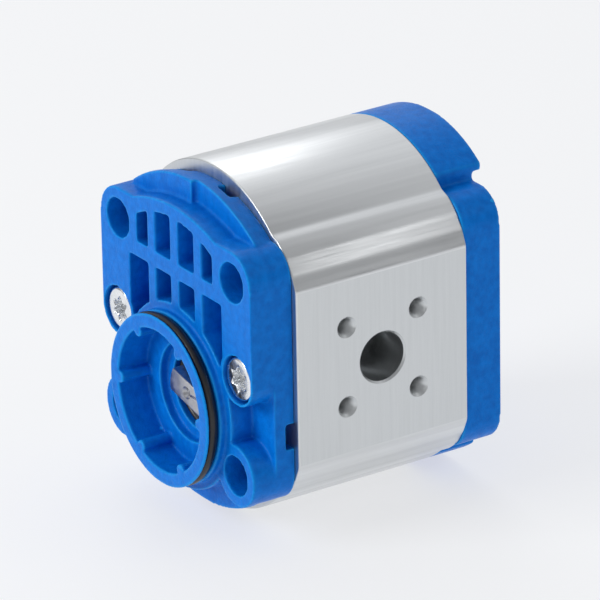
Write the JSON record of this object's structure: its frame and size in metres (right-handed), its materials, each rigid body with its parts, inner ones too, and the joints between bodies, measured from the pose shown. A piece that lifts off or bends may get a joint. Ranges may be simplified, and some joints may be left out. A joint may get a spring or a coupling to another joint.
{
  "type": "hydraulic gear pump",
  "caption": "Flange-mounted hydraulic gear pump with a round centring pilot, a recessed drive tang, flanged side ports and meshing gears between bearing blocks.",
  "frame": {"origin": "on the drive axis, in the mounting plane of the flange, where the centring pilot meets it", "axes": "+Y along the drive axis towards the rear cover, +X towards the pressure port, +Z from the drive gear towards the driven gear"},
  "size_m": [0.0832, 0.0962, 0.1056],
  "materials": {
    "blue_paint": "satin paint over a fine cast skin",
    "bare_aluminium": "satin extruded, machined end faces",
    "ground_steel": "ground",
    "bearing_alloy": "machined",
    "bush_bronze": "dull sliding layer",
    "black_rubber": "moulded, slightly oily",
    "seal_plastic": "matte",
    "spring_steel": "dark phosphated",
    "zinc_steel": "bright zinc plate"
  },
  "bodies": {
    "housing": {"front_cover": "blue_paint", "pump_case": "bare_aluminium", "end_cover": "blue_paint", "front_bearing_block": "bearing_alloy", "rear_bearing_block": "bearing_alloy", "front_drive_bush": "bush_bronze", "front_driven_bush": "bush_bronze", "rear_drive_bush": "bush_bronze", "rear_driven_bush": "bush_bronze", "shaft_seal": "black_rubber", "seal_garter_spring": "spring_steel", "pilot_o_ring": "black_rubber", "front_case_seal": "black_rubber", "rear_case_seal": "black_rubber", "front_axial_seal": "black_rubber", "rear_axial_seal": "black_rubber", "front_seal_supports": "seal_plastic", "rear_seal_supports": "seal_plastic", "front_dowel_pins": "spring_steel", "rear_dowel_pins": "spring_steel", "front_cover_screws": "zinc_steel", "end_cover_screws": "zinc_steel"},
    "drive_gear": {"drive_gear_shaft": "ground_steel"},
    "driven_gear": {"driven_gear_shaft": "ground_steel"}
  },
  "joints": [
    {"name": "drive_gear_spin", "type": "hinge", "parent": "housing", "child": "drive_gear", "pos_m": [0, 0, 0], "axis": [0, 1, 0], "continuous": true},
    {"name": "driven_gear_spin", "type": "hinge", "parent": "housing", "child": "driven_gear", "pos_m": [0, 0, 0.0312], "axis": [0, 1, 0], "continuous": true}
  ],
  "couplings": [
    {"joint": "driven_gear_spin", "follows": "drive_gear_spin", "ratio": -1}
  ]
}
